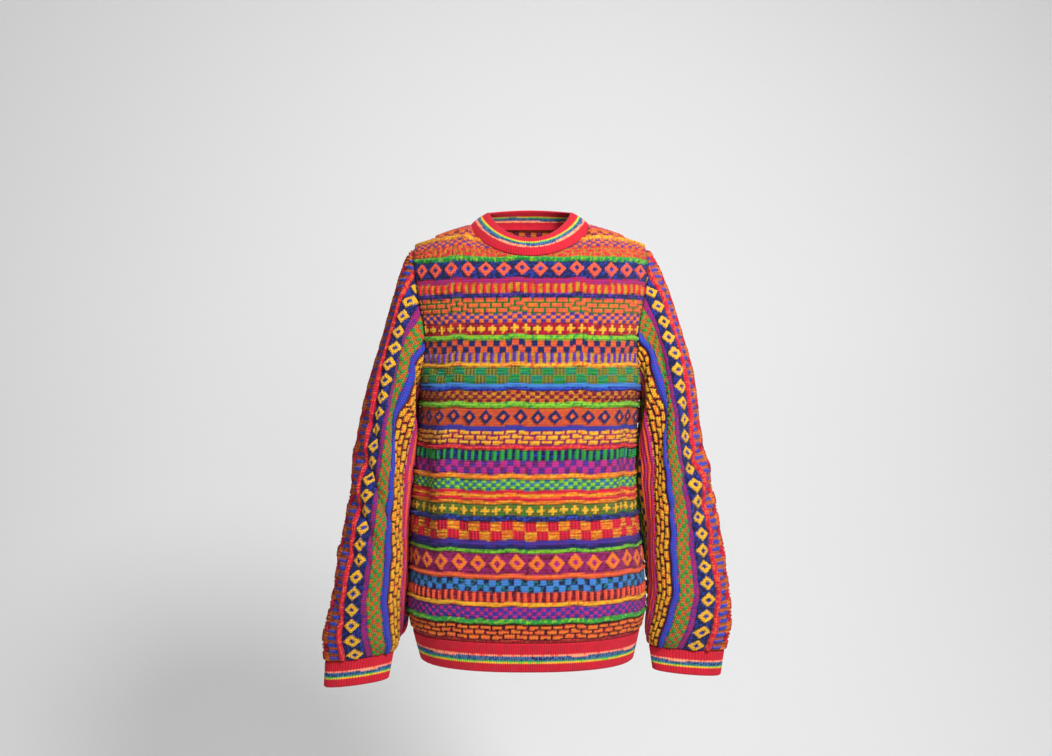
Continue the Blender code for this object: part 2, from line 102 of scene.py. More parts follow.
# %% Backdrop
FLOOR_Z = -1.45
SWEEP_HALF_WIDTH = 7.0
SWEEP_NEAR = -5.0
SWEEP_BACK = 2.6
SWEEP_RADIUS = 1.4
SWEEP_TOP = 4.5
SWEEP_STEPS = 25
PAPER = (0.92, 0.92, 0.92)


def link(thing):
    bpy.context.scene.collection.objects.link(thing)
    return thing


def plain_material(name, colour, roughness):
    material = bpy.data.materials.new(name)
    material.use_nodes = True
    shader = material.node_tree.nodes["Principled BSDF"]
    shader.inputs["Base Color"].default_value = (*colour, 1)
    shader.inputs["Roughness"].default_value = roughness
    return material


turn = np.linspace(0, math.pi / 2, SWEEP_STEPS)
profile_y = np.concatenate(([SWEEP_NEAR], SWEEP_BACK - SWEEP_RADIUS * (1 - np.sin(turn)), [SWEEP_BACK]))
profile_z = np.concatenate(([FLOOR_Z], FLOOR_Z + SWEEP_RADIUS * (1 - np.cos(turn)), [SWEEP_TOP]))
sweep_points = []
for y, z in zip(profile_y, profile_z):
    sweep_points += [(-SWEEP_HALF_WIDTH, y, z), (SWEEP_HALF_WIDTH, y, z)]
sweep_faces = [(2 * i, 2 * i + 1, 2 * i + 3, 2 * i + 2) for i in range(len(profile_y) - 1)]
sweep_mesh = bpy.data.meshes.new("backdrop")
sweep_mesh.from_pydata(sweep_points, [], sweep_faces)
sweep_mesh.shade_smooth()
backdrop = link(bpy.data.objects.new("backdrop", sweep_mesh))
backdrop.data.materials.append(plain_material("pale_paper", PAPER, 0.9))

# %% Lights


def softbox(name, place, aim, size, watts):
    data = bpy.data.lights.new(name, "AREA")
    data.shape = "DISK"
    data.size = size
    data.energy = watts
    lamp = link(bpy.data.objects.new(name, data))
    lamp.location = place
    direction = np.array(aim) - np.array(place)
    pitch = math.atan2(math.hypot(direction[0], direction[1]), -direction[2])
    lamp.rotation_euler = (pitch, 0, math.atan2(direction[1], direction[0]) - math.pi / 2)


CHEST = (0.0, 0.0, -0.30)
ROOM_LIGHT = 0.32
softbox("key", (0.74, -1.52, 0.72), CHEST, 0.5, 61)
softbox("fill", (0.3, -3.2, 0.2), CHEST, 1.4, 26)
softbox("top", (0.3, 0.6, 2.2), CHEST, 1.2, 18)

world = bpy.data.worlds.new("studio_world")
bpy.context.scene.world = world
world.use_nodes = True
world.node_tree.nodes["Background"].inputs["Color"].default_value = (1, 1, 1, 1)
world.node_tree.nodes["Background"].inputs["Strength"].default_value = ROOM_LIGHT
print("three softboxes and a pale room")

# %% [markdown]
# ## Smooth curves through a few sizes
#
# Cloth has no straight edges for long, but a tailor still works from a few measures. These
# helpers draw a smooth curve through a short table and space points evenly along a line,
# so that the knitting comes out with an even stitch.

# %% Curve helpers


def unit(vectors):
    return vectors / np.linalg.norm(vectors, axis=-1, keepdims=True)


def ease(share):
    """Goes smoothly from 0 to 1 as share does, and stays there."""
    share = np.clip(share, 0.0, 1.0)
    return share * share * (3 - 2 * share)


def cubic(start, leave, end, arrive, share):
    """A curve from start to end that sets out along leave and comes in along arrive."""
    stay = 1 - share
    return (
        start * (1 + 2 * share) * stay**2
        + leave * share * stay**2
        + end * (3 - 2 * share) * share**2
        - arrive * stay * share**2
    )


def smooth(keys, values, at):
    """A smooth curve through values at keys, read at the places in at."""
    keys = np.asarray(keys, float)
    values = np.asarray(values, float)
    at = np.atleast_1d(at)
    slopes = np.gradient(values, keys, axis=0)
    span = np.clip(np.searchsorted(keys, at) - 1, 0, len(keys) - 2)
    step = keys[span + 1] - keys[span]
    share = (at - keys[span]) / step
    shape = (len(at),) + (1,) * (values.ndim - 1)
    share = share.reshape(shape)
    step = step.reshape(shape)
    return cubic(values[span], slopes[span] * step, values[span + 1], slopes[span + 1] * step, share)


def spread(curve, shares):
    """Points on a polyline, at shares of its length."""
    steps = np.linalg.norm(np.diff(curve, axis=0), axis=1)
    run = np.concatenate(([0.0], np.cumsum(steps)))
    places = np.asarray(shares) * run[-1]
    return np.stack([np.interp(places, run, curve[:, i]) for i in range(3)], axis=1)


# %% [markdown]
# ## The body's form
#
# The front and back hang from the shoulders as a loose tube, fuller above the hem rib,
# which draws it in. A loft through level sections gives this with nine rows of sizes. Each
# section is a rounded box, because a worn pullover is neither round nor flat. The sections
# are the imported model's own, so the skin and the solid agree.

# %% Body sections
HEM_BOTTOM = -0.683
HEM_TOP = -0.638
UNDERARM = -0.270
CHEST_TOP = -0.100
NECK_HALF_WIDTH = 0.0955
NECK_FRONT = (-0.098, -0.054)
NECK_BACK = (0.066, 0.004)
NECK_DIP = 1.4
TIP_X = 0.185
TIP_Z = -0.034
SHOULDER_ARCH = 0.003
ARMHOLE_BOW = 0.062
SECTION_ROUND = 2.3
FULL_WRAP = 90
CHEST_WRAP = 52
# Over 1, the panels reach the narrower wrap below the top of the chest.
WRAP_PACE = 1.6
SECTION_POINTS = 641
SHOULDER_SHARE = 0.2

# level, left, right, front, back
BODY_SECTIONS = (
    (-0.683, -0.172, 0.162, -0.120, 0.116),
    (-0.638, -0.184, 0.172, -0.128, 0.122),
    (-0.605, -0.190, 0.179, -0.134, 0.128),
    (-0.540, -0.187, 0.178, -0.133, 0.128),
    (-0.445, -0.185, 0.167, -0.130, 0.124),
    (-0.360, -0.178, 0.166, -0.128, 0.122),
    (-0.270, -0.171, 0.171, -0.127, 0.122),
    (-0.180, -0.162, 0.166, -0.125, 0.122),
    (-0.100, -0.176, 0.179, -0.117, 0.118),
)
FRONT = -1
BACK = 1


def armhole_bow(side, level):
    """How far a panel's edge is from the side of the body: nothing below the underarm."""
    middle = (UNDERARM + TIP_Z) / 2
    half = (TIP_Z - UNDERARM) / 2
    if level <= UNDERARM:
        return 0.0
    return side * ARMHOLE_BOW * math.sqrt(max(0.0, 1 - ((level - middle) / half) ** 2))


def level_row(side, level, shares):
    """One level row of the front or back, its columns evenly spaced round the body."""
    keys = [row[0] for row in BODY_SECTIONS]
    left, right, front, back = smooth(keys, [row[1:] for row in BODY_SECTIONS], level)[0]
    middle = front if side == FRONT else back
    edge = armhole_bow(side, level)
    rise = ease(WRAP_PACE * (level - UNDERARM) / (CHEST_TOP - UNDERARM))
    wrap = math.radians(FULL_WRAP + (CHEST_WRAP - FULL_WRAP) * rise)
    angle = np.linspace(-wrap, wrap, SECTION_POINTS)
    power = 2 / SECTION_ROUND
    across = np.sign(angle) * (np.abs(np.sin(angle)) / math.sin(wrap)) ** power
    least = math.cos(wrap) ** power
    swell = (np.abs(np.cos(angle)) ** power - least) / (1 - least)
    x = (left + right) / 2 + (right - left) / 2 * across
    y = edge + (middle - edge) * swell
    return spread(np.stack([x, y, np.full_like(x, level)], axis=1), shares)


# %% [markdown]
# ## Shoulders and neckline
#
# Above the chest each column of knitting turns over the shoulder to the shoulder seam, or
# ends at the neckline. A cubic curve with a chosen direction at each end does this without
# a corner. The top edge runs along one shoulder seam, round the neckline and along the other.

# %% Panels


def neck_half(half_width, side_z, end):
    """Half of a loop round the neck, from the right side to the left, through end at its middle."""
    angle = np.linspace(0, math.pi, 481)
    depth, height = end
    x = -half_width * np.cos(angle)
    y = depth * np.sin(angle)
    z = side_z + (height - side_z) * np.clip(np.sin(angle), 0, 1) ** NECK_DIP
    return np.stack([x, y, z], axis=1)


def top_row(side, shares):
    """The top edge of a panel: shoulder seam, neckline, shoulder seam."""
    part = SHOULDER_SHARE
    neckline = neck_half(NECK_HALF_WIDTH, 0.0, NECK_FRONT if side == FRONT else NECK_BACK)
    run = np.linspace(0, 1, 61)
    x = -TIP_X + (TIP_X - NECK_HALF_WIDTH) * run
    z = TIP_Z * (1 - run) + SHOULDER_ARCH * np.sin(math.pi * run)
    shoulder = np.stack([x, np.zeros_like(x), z], axis=1)
    other = shoulder[::-1] * np.array([-1.0, 1.0, 1.0])
    first = spread(shoulder, np.clip(shares / part, 0, 1))
    middle = spread(neckline, np.clip((shares - part) / (1 - 2 * part), 0, 1))
    last = spread(other, np.clip((shares - 1 + part) / part, 0, 1))
    on_first = (shares < part)[:, None]
    on_last = (shares > 1 - part)[:, None]
    return np.where(on_first, first, np.where(on_last, last, middle))


def top_leaning(side, shares):
    """The direction in which each column reaches the top edge: over the shoulder, or up the neck."""
    place = np.clip((shares - SHOULDER_SHARE) / (1 - 2 * SHOULDER_SHARE), 0, 1)
    up = np.sin(math.pi * place)
    leaning = np.stack([np.zeros_like(up), -side * (1 - 0.55 * up), 0.1 + 0.8 * up], axis=1)
    return unit(leaning)


# Over 1, the rows lie closer together just above the underarm.
ARMHOLE_ROW_EASE = 1.25
# How far each column holds its direction as it turns over the shoulder.
SHOULDER_REACH = 1.1
CHEST_STEP = 0.01
PANEL_COLUMNS = 300
SIDE_ROWS = 186
ARMHOLE_LOW_ROWS = 78
ARMHOLE_TOP_ROWS = 50


def panel(side):
    """The middle of the front or back, rows from the hem seam up."""
    shares = np.linspace(0, 1, PANEL_COLUMNS + 1)
    side_levels = np.linspace(HEM_TOP, UNDERARM, SIDE_ROWS + 1)
    rise = np.linspace(0, 1, ARMHOLE_LOW_ROWS + 1)[1:] ** ARMHOLE_ROW_EASE
    armhole_levels = UNDERARM + (CHEST_TOP - UNDERARM) * rise
    rows = [level_row(side, level, shares) for level in (*side_levels, *armhole_levels)]
    start = rows[-1]
    below = level_row(side, CHEST_TOP - CHEST_STEP, shares)
    end = top_row(side, shares)
    reach = SHOULDER_REACH * np.linalg.norm(end - start, axis=1, keepdims=True)
    leave = unit(start - below) * reach
    arrive = top_leaning(side, shares) * reach
    for step in range(1, ARMHOLE_TOP_ROWS + 1):
        rows.append(cubic(start, leave, end, arrive, step / ARMHOLE_TOP_ROWS))
    return np.array(rows)


front_form = panel(FRONT)
back_form = panel(BACK)
print("front and back:", front_form.shape[:2], "rows and columns each")

# %% [markdown]
# ## The sleeves' form
#
# A sleeve starts on the loop where the front and back end, then hangs down beside the body.
# Its rings are given by their innermost and outermost points and their depth from front to
# back. These three are what a front and a side view show of a hanging sleeve.

# %% Sleeves
# inner x, inner z, outer x, outer z, middle y, half depth
RIGHT_SLEEVE_RINGS = (
    (0.1805, -0.2720, 0.1980, -0.062, -0.001, 0.067),
    (0.1845, -0.296, 0.2130, -0.112, -0.002, 0.074),
    (0.1890, -0.330, 0.2420, -0.222, -0.005, 0.081),
    (0.1920, -0.380, 0.2640, -0.323, -0.008, 0.078),
    (0.1955, -0.450, 0.2810, -0.420, -0.011, 0.069),
    (0.1965, -0.525, 0.2985, -0.520, -0.014, 0.060),
    (0.2000, -0.585, 0.3130, -0.602, -0.017, 0.053),
    (0.2080, -0.640, 0.3240, -0.652, -0.019, 0.043),
    (0.2180, -0.672, 0.3220, -0.688, -0.021, 0.024),
)
LEFT_SLEEVE_RINGS = (
    (0.1805, -0.2720, 0.1990, -0.060, -0.001, 0.067),
    (0.1840, -0.296, 0.2170, -0.104, -0.002, 0.074),
    (0.1830, -0.330, 0.2470, -0.214, -0.005, 0.081),
    (0.1810, -0.380, 0.2630, -0.323, -0.008, 0.078),
    (0.1820, -0.440, 0.2870, -0.419, -0.011, 0.069),
    (0.1860, -0.515, 0.3020, -0.515, -0.014, 0.060),
    (0.1885, -0.580, 0.3130, -0.590, -0.017, 0.053),
    (0.1880, -0.632, 0.3130, -0.636, -0.019, 0.043),
    (0.1905, -0.662, 0.3050, -0.670, -0.021, 0.024),
)
RIGHT_CUFF_END = (0.2260, -0.715, 0.3240, -0.728, -0.022, 0.021)
LEFT_CUFF_END = (0.1960, -0.700, 0.2990, -0.709, -0.022, 0.021)
SLEEVE_ROWS = 290
SLEEVE_ROW_EASE = 1.15


def armhole_ring(column):
    """A closed ring on the armhole edges: from the underarm up the front, and down the back."""
    up = front_form[SIDE_ROWS:, column]
    down = back_form[SIDE_ROWS:, column][::-1]
    return np.concatenate([up, down[1:-1]])


def table_ring(row, outward, count):
    """A ring of a sleeve from its table row, its points in the armhole ring's order."""
    inner_x, inner_z, outer_x, outer_z, middle_y, depth = row
    angle = np.linspace(0, 2 * math.pi, count, endpoint=False)
    x = outward * ((inner_x + outer_x) / 2 - (outer_x - inner_x) / 2 * np.cos(angle))
    y = middle_y - depth * np.sin(angle)
    z = (inner_z + outer_z) / 2 - (outer_z - inner_z) / 2 * np.cos(angle)
    return np.stack([x, y, z], axis=1)


def sleeve(armhole, rings, outward):
    """The middle of a sleeve, rows from the armhole down to the cuff seam."""
    count = len(armhole)
    keys = np.array([armhole] + [table_ring(row, outward, count) for row in rings])
    steps = np.linalg.norm(np.diff(keys.mean(axis=1), axis=0), axis=1)
    run = np.concatenate(([0.0], np.cumsum(steps)))
    shares = np.linspace(0, 1, SLEEVE_ROWS + 1) ** SLEEVE_ROW_EASE
    return smooth(run, keys, shares * run[-1])


right_form = sleeve(armhole_ring(0), RIGHT_SLEEVE_RINGS, -1)
left_form = sleeve(armhole_ring(PANEL_COLUMNS), LEFT_SLEEVE_RINGS, 1)
print("sleeves:", right_form.shape[:2], "rows and columns each")

# %% [markdown]
# ## Where each point lies on the flat knitting
#
# A pattern has to lie on the cloth as it was knitted, not as it hangs. So each point gets
# its place on the flat piece: u across or round it and v along it, in metres. Creases,
# raised bands, colours and stitches are all drawn in these two numbers.

# %% Flat places


def facing(points, closed, turn):
    """The outward direction at each point of a grid. turn is 1 or -1, as the grid's columns run."""
    along = np.gradient(points, axis=0)
    if closed:
        across = np.roll(points, -1, axis=1) - np.roll(points, 1, axis=1)
    else:
        across = np.gradient(points, axis=1)
    return unit(np.cross(across, along) * turn)


def flat_places(points, closed):
    """Each point's place on the flat piece: u across or round, v along, in metres."""
    v = np.zeros(points.shape[:2])
    v[1:] = np.cumsum(np.linalg.norm(np.diff(points, axis=0), axis=2), axis=0)
    u = np.zeros(points.shape[:2])
    u[:, 1:] = np.cumsum(np.linalg.norm(np.diff(points, axis=1), axis=2), axis=1)
    if closed:
        outer = points.shape[1] // 2
        return u[:, outer : outer + 1] - u, v
    return u - (u[:, -1:] / 2), v


# %% [markdown]
# ## The grain of the knitting
#
# Knitting has a grain: its columns of stitches run straight up a panel, and its rows lie
# level. On the body the rows follow the height above the hem, and over the shoulders they
# follow the cloth up and back. On a sleeve the rows are counted from the cuff up, because
# the cuff is the square end, and the columns are set out from the line down the outside of
# the arm. So the bands stay true, and the underarm seam cuts off those at the edge.

# %% Grain
CHEST_ROW = SIDE_ROWS + ARMHOLE_LOW_ROWS
GRAIN_EVENING = 24
# Past the ends of the chest row, u grows by PAST_CHEST_U over PAST_CHEST_X of x.
PAST_CHEST_X = 0.05
PAST_CHEST_U = 0.07


def wrapped(values):
    """A closed grid's values with the first column repeated after the last."""
    return np.concatenate([values, values[:, :1]], axis=1)


def panel_grain(points):
    u = flat_places(points, False)[0]
    v = points[..., 2] - HEM_TOP
    x = points[CHEST_ROW, :, 0]
    chest = u[CHEST_ROW]
    chest_x = np.concatenate(([x[0] - PAST_CHEST_X], x, [x[-1] + PAST_CHEST_X]))
    chest_u = np.concatenate(([chest[0] - PAST_CHEST_U], chest, [chest[-1] + PAST_CHEST_U]))
    for row in range(CHEST_ROW + 1, len(points)):
        rise = np.linalg.norm(points[row, :, 1:] - points[row - 1, :, 1:], axis=1)
        v[row] = v[row - 1] + rise
        u[row] = np.interp(points[row, :, 0], chest_x, chest_u)
    return u, v


def sleeve_grain(points):
    v = flat_places(points, True)[1]
    v = v[-1:] - v
    ring = wrapped(points)
    up = np.diff(wrapped(v), axis=1)
    girth = np.sqrt(np.maximum((np.diff(ring, axis=1) ** 2).sum(axis=2) - up**2, 0)).sum(axis=1)
    tapered = np.maximum.accumulate(girth[::-1])[::-1]
    around = np.pad(tapered, GRAIN_EVENING, mode="edge")
    window = np.ones(2 * GRAIN_EVENING + 1) / (2 * GRAIN_EVENING + 1)
    tapered = np.convolve(around, window, mode="valid")
    share = 0.5 - np.arange(points.shape[1] + 1) / points.shape[1]
    return tapered[:, None] * share[None, :], v


# %% [markdown]
# ## Creases
#
# Heavy knitting doesn't crease sharply: it hangs in a few soft drapes and crumples where a
# sleeve bends. A simulation would lose the table of sizes, so each crease is given one by
# one as a soft trough or ridge along a line on the flat piece. The long deep ones run
# down from the armpits, and the short slanting ones cross the elbows. The first small
# fold of each sleeve is a full ridge at its inner back, which narrows the gap to the body.

# %% Fold tables
# start u, start v, end u, end v, half width, depth; a negative depth is a trough
FRONT_FOLDS = (
    (-0.178, 0.36, -0.160, 0.12, 0.020, -0.0070),
    (-0.135, 0.42, -0.122, 0.04, 0.024, 0.0045),
    (-0.070, 0.16, -0.064, -0.02, 0.020, -0.0030),
    (0.168, 0.39, 0.168, 0.14, 0.018, -0.0065),
    (0.130, 0.44, 0.140, 0.03, 0.024, 0.0050),
    (0.064, 0.20, 0.056, -0.02, 0.022, -0.0030),
    (-0.215, 0.33, -0.150, 0.24, 0.012, -0.0030),
    (0.215, 0.31, 0.150, 0.21, 0.012, -0.0030),
    (-0.190, 0.46, -0.110, 0.40, 0.015, -0.0035),
    (0.185, 0.47, 0.105, 0.42, 0.014, -0.0030),
    (0.012, 0.12, 0.004, -0.04, 0.024, -0.0022),
    (-0.100, 0.34, -0.092, 0.06, 0.014, -0.0030),
    (0.098, 0.30, 0.104, 0.03, 0.013, -0.0028),
    (-0.040, 0.40, -0.052, 0.20, 0.018, 0.0022),
    (0.036, 0.36, 0.026, 0.14, 0.018, 0.0020),
)
BACK_FOLDS = (
    (-0.172, 0.37, -0.150, 0.14, 0.020, -0.0065),
    (-0.120, 0.45, -0.128, 0.05, 0.026, 0.0045),
    (0.170, 0.36, 0.156, 0.16, 0.020, -0.0070),
    (0.126, 0.46, 0.114, 0.04, 0.026, 0.0045),
    (0.010, 0.22, -0.006, 0.02, 0.026, -0.0035),
    (-0.210, 0.30, -0.140, 0.22, 0.013, -0.0030),
    (0.212, 0.34, 0.140, 0.26, 0.013, -0.0032),
    (-0.060, 0.50, 0.055, 0.49, 0.020, -0.0025),
)
SLEEVE_FOLDS = (
    (0.150, 0.015, 0.115, 0.230, 0.021, -0.0095),
    (0.085, 0.060, 0.060, 0.260, 0.020, 0.0050),
    (-0.150, 0.015, -0.120, 0.200, 0.021, -0.0090),
    (0.140, 0.262, 0.010, 0.332, 0.014, -0.0085),
    (0.125, 0.345, -0.005, 0.400, 0.014, -0.0075),
    (-0.130, 0.290, -0.010, 0.355, 0.015, -0.0075),
    (0.100, 0.430, 0.020, 0.455, 0.012, -0.0040),
    (0.205, -0.030, 0.160, 0.250, 0.021, 0.0095),
    (0.134, 0.200, 0.104, 0.570, 0.024, 0.0065),
)
RIGHT_SMALL_FOLDS = (
    (-0.208, 0.030, -0.150, 0.440, 0.030, 0.0175),
    (0.060, 0.020, 0.095, 0.330, 0.014, -0.0050),
    (0.020, 0.130, 0.030, 0.430, 0.020, 0.0045),
    (-0.030, 0.060, -0.020, 0.300, 0.018, -0.0035),
    (0.115, 0.225, 0.020, 0.262, 0.009, -0.0034),
    (0.090, 0.300, -0.030, 0.352, 0.009, 0.0030),
    (0.110, 0.395, 0.030, 0.428, 0.009, -0.0030),
    (-0.100, 0.390, -0.020, 0.420, 0.010, -0.0032),
    (0.090, 0.480, -0.050, 0.500, 0.011, 0.0032),
    (0.080, 0.545, -0.010, 0.552, 0.008, -0.0034),
    (-0.080, 0.548, -0.015, 0.540, 0.008, -0.0030),
)
LEFT_SMALL_FOLDS = (
    (-0.212, 0.030, -0.175, 0.310, 0.030, 0.0130),
    (0.055, 0.040, 0.088, 0.300, 0.014, -0.0045),
    (0.015, 0.110, 0.035, 0.400, 0.020, 0.0045),
    (-0.035, 0.080, -0.015, 0.330, 0.018, -0.0035),
    (0.110, 0.250, 0.010, 0.290, 0.010, -0.0036),
    (0.100, 0.318, -0.020, 0.372, 0.009, 0.0032),
    (0.100, 0.380, 0.000, 0.436, 0.010, -0.0030),
    (-0.105, 0.365, -0.030, 0.402, 0.010, -0.0032),
    (0.085, 0.500, -0.040, 0.486, 0.011, 0.0030),
    (0.075, 0.540, 0.000, 0.548, 0.008, -0.0032),
)


# %% Fold the forms
FOLD_TAPER = 2.5
SEAM_HOLD = 0.025


def fold_heights(folds, u, v):
    """How far the folds move the cloth out, at each place."""
    height = np.zeros_like(u)
    for start_u, start_v, end_u, end_v, half_width, depth in folds:
        line = np.array([end_u - start_u, end_v - start_v])
        length = np.hypot(*line)
        share = ((u - start_u) * line[0] + (v - start_v) * line[1]) / length**2
        off = ((u - start_u) * line[1] - (v - start_v) * line[0]) / length
        taper = ease(FOLD_TAPER * share) * ease(FOLD_TAPER * (1 - share))
        height += depth * taper * np.exp(-((off / half_width) ** 2))
    return height


def edge_distance(points, closed):
    """The distance on the flat piece from each point to the piece's nearest sewn edge."""
    u, v = flat_places(points, closed)
    nearest = np.minimum(v, v[-1:] - v)
    if closed:
        return nearest
    return np.minimum(nearest, np.minimum(u - u[:, :1], u[:, -1:] - u))


def folded(points, closed, turn, folds):
    """A grid with its folds, and with its seams where they were."""
    u, v = flat_places(points, closed)
    height = fold_heights(folds, u, v) * ease(edge_distance(points, closed) / SEAM_HOLD)
    return points + facing(points, closed, turn) * height[..., None]


front_grain = panel_grain(front_form)
back_grain = panel_grain(back_form)
right_grain = sleeve_grain(right_form)
left_grain = sleeve_grain(left_form)
front_form = folded(front_form, False, 1, FRONT_FOLDS)
back_form = folded(back_form, False, -1, BACK_FOLDS)
right_form = folded(right_form, True, 1, SLEEVE_FOLDS + RIGHT_SMALL_FOLDS)
left_form = folded(left_form, True, -1, SLEEVE_FOLDS + LEFT_SMALL_FOLDS)
print("folds:", len(FRONT_FOLDS), "in front,", len(BACK_FOLDS), "behind,")
print(len(SLEEVE_FOLDS), "on both sleeves, and", len(RIGHT_SMALL_FOLDS), "and", len(LEFT_SMALL_FOLDS), "more")

# %% [markdown]
# ## The yarns
#
# The real cloth is knitted from many bright cotton yarns, some of them two strands of
# different colours twisted together. Here are the yarns by name, as the eye sees them,
# turned into the linear colours that a shader works with.

# %% Yarn colours


def yarn(red, green, blue):
    """A yarn's colour as a screen shows it, from 0 to 255, as linear light."""
    shown = np.array([red, green, blue]) / 255
    return np.where(shown <= 0.04045, shown / 12.92, ((shown + 0.055) / 1.055) ** 2.4)


YARNS = {
    "red": yarn(214, 26, 54),
    "rib red": yarn(182, 22, 42),
    "coral": yarn(238, 88, 56),
    "orange": yarn(240, 118, 34),
    "gold": yarn(240, 178, 40),
    "lime": yarn(134, 196, 44),
    "green": yarn(38, 150, 62),
    "teal": yarn(34, 132, 134),
    "sky": yarn(66, 128, 204),
    "royal": yarn(44, 68, 186),
    "navy": yarn(24, 30, 84),
    "violet": yarn(92, 46, 158),
    "magenta": yarn(182, 38, 124),
    "maroon": yarn(122, 22, 48),
    "olive": yarn(124, 122, 44),
    "peach": yarn(246, 150, 110),
    "heather": yarn(62, 96, 134),
}
print(len(YARNS), "yarns")

# %% [markdown]
# ## The stitch patterns
#
# Each band of the sweater is a plain, well-known stitch pattern: welts, moss stitch, ribs,
# checks, brick stitch, ridges, diamonds, basket stitch and crosses. A pattern is a small
# function that says, for a place in the band, how far the knitting stands out and which of
# two yarns is on top. The first is a share from 0 to 1. Drawn as functions the patterns
# stay sharp at any size of mesh.

# %% Stitch patterns
MOSS_WIDTH = 0.0072
MOSS_HEIGHT = 0.0054
BRICK_WIDTH = 0.018
BRICK_HEIGHT = 0.0072
RIB_WIDTH = 0.0056
CHECK_WIDTH = 0.0095
CHECK_HEIGHT = 0.009
RIDGE_HEIGHT = 0.0105
MOTIF_WIDTH = 0.0168


def part_of(value):
    return value - np.floor(value)


def odd_cell(a, b):
    return (np.floor(a) + np.floor(b)) % 2 == 1


def plain(along, across, height):
    return np.full_like(along, 0.3), np.zeros(along.shape, bool)


def welt(along, across, height):
    round_top = np.sqrt(np.clip(1 - (2 * across / height - 1) ** 2, 0, 1))
    return round_top, np.zeros(along.shape, bool)


def moss(along, across, height):
    a, b = along / MOSS_WIDTH, across / MOSS_HEIGHT
    odd = odd_cell(a, b)
    bump = np.sin(math.pi * part_of(a)) * np.sin(math.pi * part_of(b))
    return 0.25 + 0.75 * odd * bump, odd


def bricks(along, across, height):
    b = across / BRICK_HEIGHT
    a = along / BRICK_WIDTH + 0.5 * (np.floor(b) % 2)
    mortar = (part_of(a) < 0.2) | (part_of(b) < 0.3)
    return np.where(mortar, 0.1, 0.9), mortar


def ribs(along, across, height):
    a = along / RIB_WIDTH
    odd = np.floor(a) % 2 == 1
    return 0.2 + 0.8 * odd * np.sin(math.pi * part_of(a)) ** 0.7, odd


def checks(along, across, height):
    rows = max(2, round(height / CHECK_HEIGHT))
    odd = odd_cell(along / CHECK_WIDTH, across / height * rows)
    return 0.35 + 0.4 * odd, odd


def ridges(along, across, height):
    rows = max(1, round(height / RIDGE_HEIGHT))
    b = across / height * rows * 2
    return 0.15 + 0.85 * np.sin(math.pi * part_of(b)) ** 0.8, np.floor(b) % 2 == 1


def diamonds(along, across, height):
    a = np.abs(part_of(along / (0.95 * height)) - 0.5) * 2
    away = a + np.abs(across / height - 0.5) * 2
    inside = away < 0.86
    heart = away < 0.34
    return 0.25 + 0.65 * inside - 0.4 * heart, inside & ~heart


def baskets(along, across, height):
    odd = odd_cell(along / MOTIF_WIDTH, across / height * 2)
    upright = 0.5 + 0.5 * np.cos(2 * math.pi * along / RIB_WIDTH)
    level = 0.5 + 0.5 * np.cos(2 * math.pi * across / RIB_WIDTH)
    return 0.15 + 0.85 * np.where(odd, upright, level), odd


def crosses(along, across, height):
    a = np.abs(part_of(along / MOTIF_WIDTH) - 0.5)
    b = np.abs(across / height - 0.5) * height / MOTIF_WIDTH
    cross = ((a < 0.11) & (b < 0.36)) | ((b < 0.11) & (a < 0.36))
    return 0.25 + 0.6 * cross, cross


PATTERNS = dict(
    plain=plain, welt=welt, moss=moss, bricks=bricks, ribs=ribs,
    checks=checks, ridges=ridges, diamonds=diamonds, baskets=baskets, crosses=crosses,
)
print("patterns:", ", ".join(PATTERNS))

# %% [markdown]
# ## The bands
#
# On the body the bands lie level and meet at the side seams. On the sleeves they run
# lengthwise from armhole to cuff and narrow with the sleeve. Each row of a table is one
# band: its pattern, width in millimetres, ground yarn, figure yarn, the yarn that flecks
# the ground where two strands are knitted together, and its height in millimetres, which
# RELIEF scales below.

# %% Band tables
def band_table(rows):
    """The bands of a table, each line a band."""
    bands = []
    for row in rows.strip().split("\n"):
        pattern, width, ground, figure, fleck, height = row.split()
        bands.append((pattern, int(width), ground, figure, fleck, float(height)))
    return bands


BODY_BANDS = band_table("""
plain 6 red red coral 1.0
bricks 24 orange maroon coral 2.2
welt 8 green green lime 3.4
moss 18 royal magenta violet 2.4
welt 7 gold gold orange 3.0
ribs 15 maroon coral red 2.4
checks 19 navy sky teal 1.8
welt 8 coral coral orange 3.4
diamonds 31 magenta orange maroon 2.6
ridges 11 lime navy green 2.8
plain 8 violet violet royal 1.2
baskets 28 orange red gold 2.6
welt 8 navy navy royal 3.4
crosses 18 olive gold green 1.8
ridges 21 orange red gold 2.8
moss 16 teal lime sky 2.4
welt 8 orange orange gold 3.2
checks 20 violet magenta maroon 1.8
ribs 16 navy green royal 2.4
welt 7 red red coral 3.2
bricks 22 gold magenta orange 2.2
plain 7 royal royal violet 1.2
diamonds 27 coral navy orange 2.6
welt 9 lime lime green 3.4
moss 17 orange maroon gold 2.4
ridges 11 royal sky navy 2.8
baskets 24 green olive teal 2.6
welt 7 gold gold coral 3.0
ribs 15 gold violet orange 2.4
checks 19 coral navy orange 1.8
welt 8 lime lime green 3.4
crosses 18 red gold maroon 1.8
moss 15 violet orange royal 2.4
bricks 22 coral green orange 2.2
welt 8 navy navy violet 3.2
ribs 15 gold red orange 2.4
plain 8 magenta magenta red 1.2
diamonds 29 navy coral royal 2.6
welt 8 green green lime 3.4
bricks 22 red gold coral 2.2
moss 17 violet orange magenta 2.4
welt 8 gold gold orange 3.2
checks 20 maroon orange magenta 1.8
ridges 40 orange magenta coral 2.8
""")
